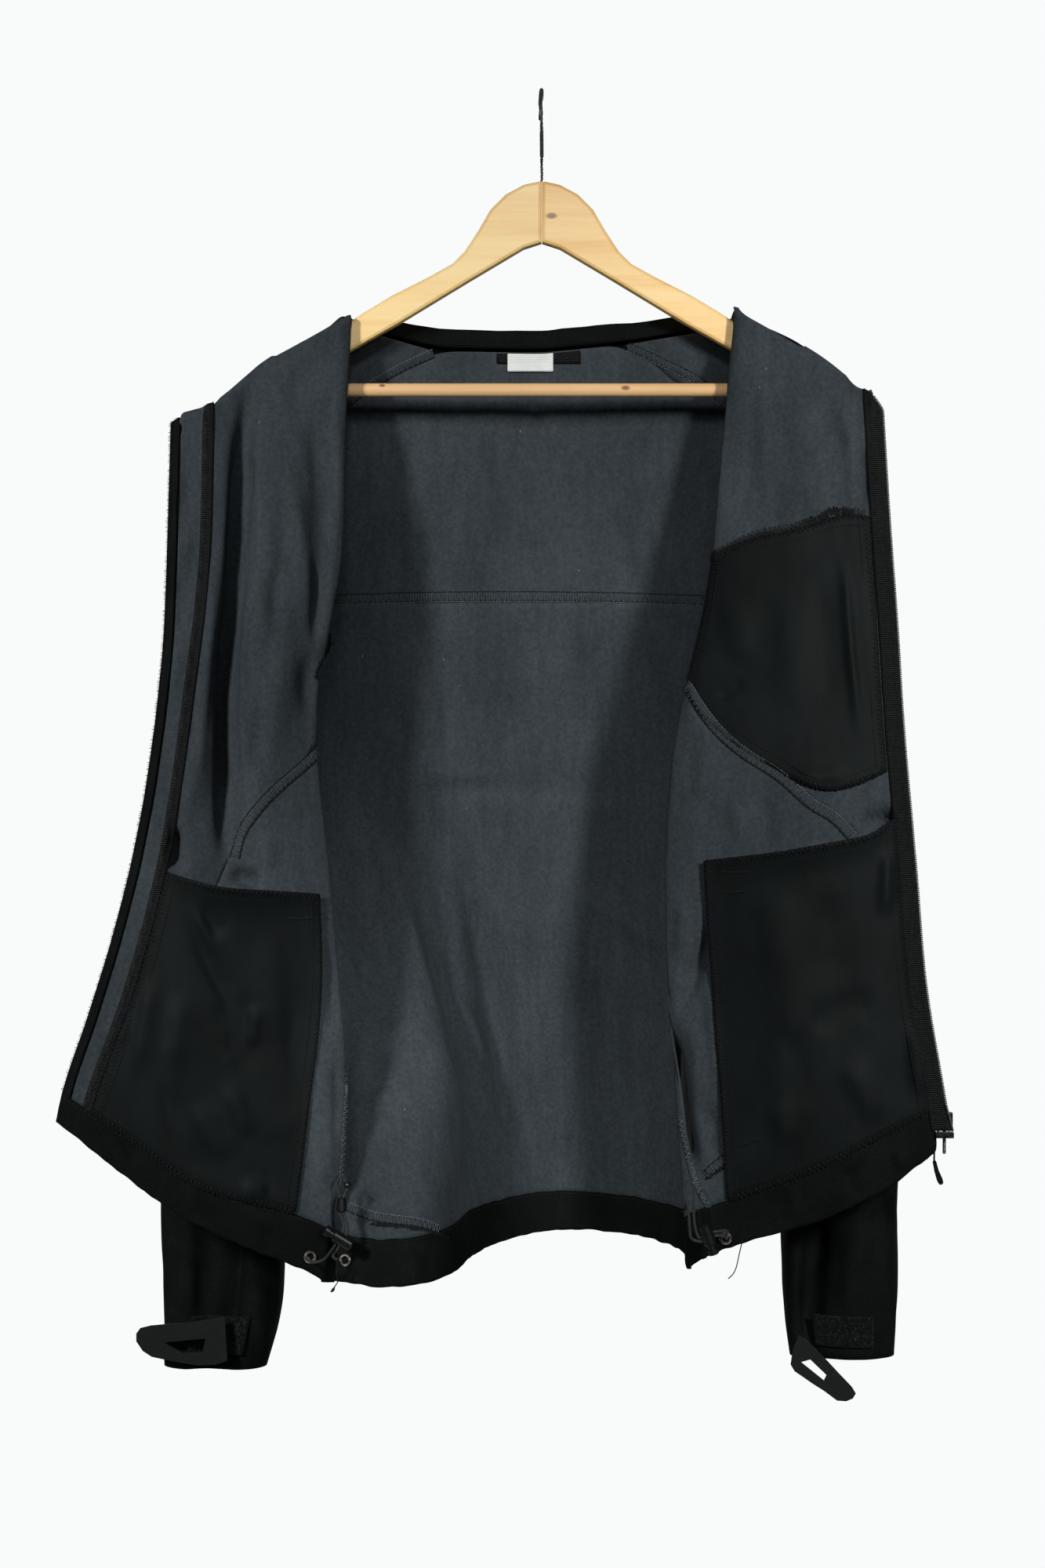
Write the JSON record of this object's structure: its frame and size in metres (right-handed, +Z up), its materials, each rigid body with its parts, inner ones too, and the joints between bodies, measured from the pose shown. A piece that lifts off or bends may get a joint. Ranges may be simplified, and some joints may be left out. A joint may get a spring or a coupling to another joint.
{
  "type": "softshell jacket hung open on a wooden hanger",
  "caption": "Fleece-lined softshell jacket hanging wide open on a wooden hanger, its fronts thrown back to show the inside, pocket bags, zip, hem drawcords and cuff tabs.",
  "frame": {"origin": "the inside top of the hanger's hook, where it rests on a rail", "axes": "+Z up, +X to the viewer's right across the shoulders, -Y towards the viewer, who sees the inside of the jacket"},
  "size_m": [0.669, 0.1998, 1.014],
  "materials": {
    "fleece": "slate-grey brushed microfleece",
    "shell": "black matt softshell face",
    "lining": "black fine twill pocket bag",
    "tape": "black woven tape",
    "label": "bare off-white woven label",
    "loop_pile": "black loop pile",
    "cord": "black braided cord",
    "moulded_rubber": "charcoal matt",
    "acetal": "black, slightly glossy",
    "nickel": "nickel plated",
    "chrome": "bright",
    "beech": "satin lacquer",
    "raw_beech": "raw turned rod"
  },
  "bodies": {
    "jacket": {"back_yoke": "fleece", "back_panel": "fleece", "front_left_upper": "fleece", "front_left_lower": "fleece", "front_right_upper": "fleece", "front_right_lower": "fleece", "storm_flap": "fleece", "storm_flap_binding": "shell", "collar": "shell", "hem_left": "shell", "hem_back": "shell", "hem_right": "shell", "sleeve_left": "shell", "sleeve_right": "shell", "pocket_hand_left": "lining", "pocket_hand_right": "lining", "pocket_chest_right": "lining", "zip_tape_left": "tape", "zip_tape_right": "tape", "hanging_loop": "tape", "neck_label": "label", "cuff_patch_left": "loop_pile", "cuff_patch_right": "loop_pile", "cuff_tab_left": "moulded_rubber", "cuff_tab_right": "moulded_rubber", "eyelet_left_front": "nickel", "eyelet_left_back": "nickel", "eyelet_right": "nickel", "drawcord_left": "cord", "drawcord_right": "cord", "lock_barrel_left": "acetal", "lock_barrel_right": "acetal", "loop_toggle_left": "acetal", "loop_bead_left": "nickel", "zip_box": "acetal", "zip_pin": "nickel", "zip_slider": "acetal", "zip_cord_pull": "moulded_rubber", "hanger_arm_left": "beech", "hanger_arm_right": "beech", "hanger_bar": "raw_beech", "hanger_hook": "chrome"},
    "zip_tab": {"zip_pull": "chrome"},
    "plunger_left": {"lock_button_left": "nickel"},
    "plunger_right": {"lock_button_right": "acetal"}
  },
  "joints": [
    {"name": "zip_tab_swing", "type": "hinge", "parent": "jacket", "child": "zip_tab", "pos_m": [0.3007, -0.0836, -0.789], "axis": [1, 0, 0], "range_deg": [0, 170]},
    {"name": "lock_press_left", "type": "slide", "parent": "jacket", "child": "plunger_left", "axis": [0.8571, 0, -0.5151], "range_m": [0, 0.003], "stiffness_N_per_m": 800, "springref_m": -0.004},
    {"name": "lock_press_right", "type": "slide", "parent": "jacket", "child": "plunger_right", "axis": [-0.33, 0, 0.944], "range_m": [0, 0.003], "stiffness_N_per_m": 800, "springref_m": -0.004}
  ]
}
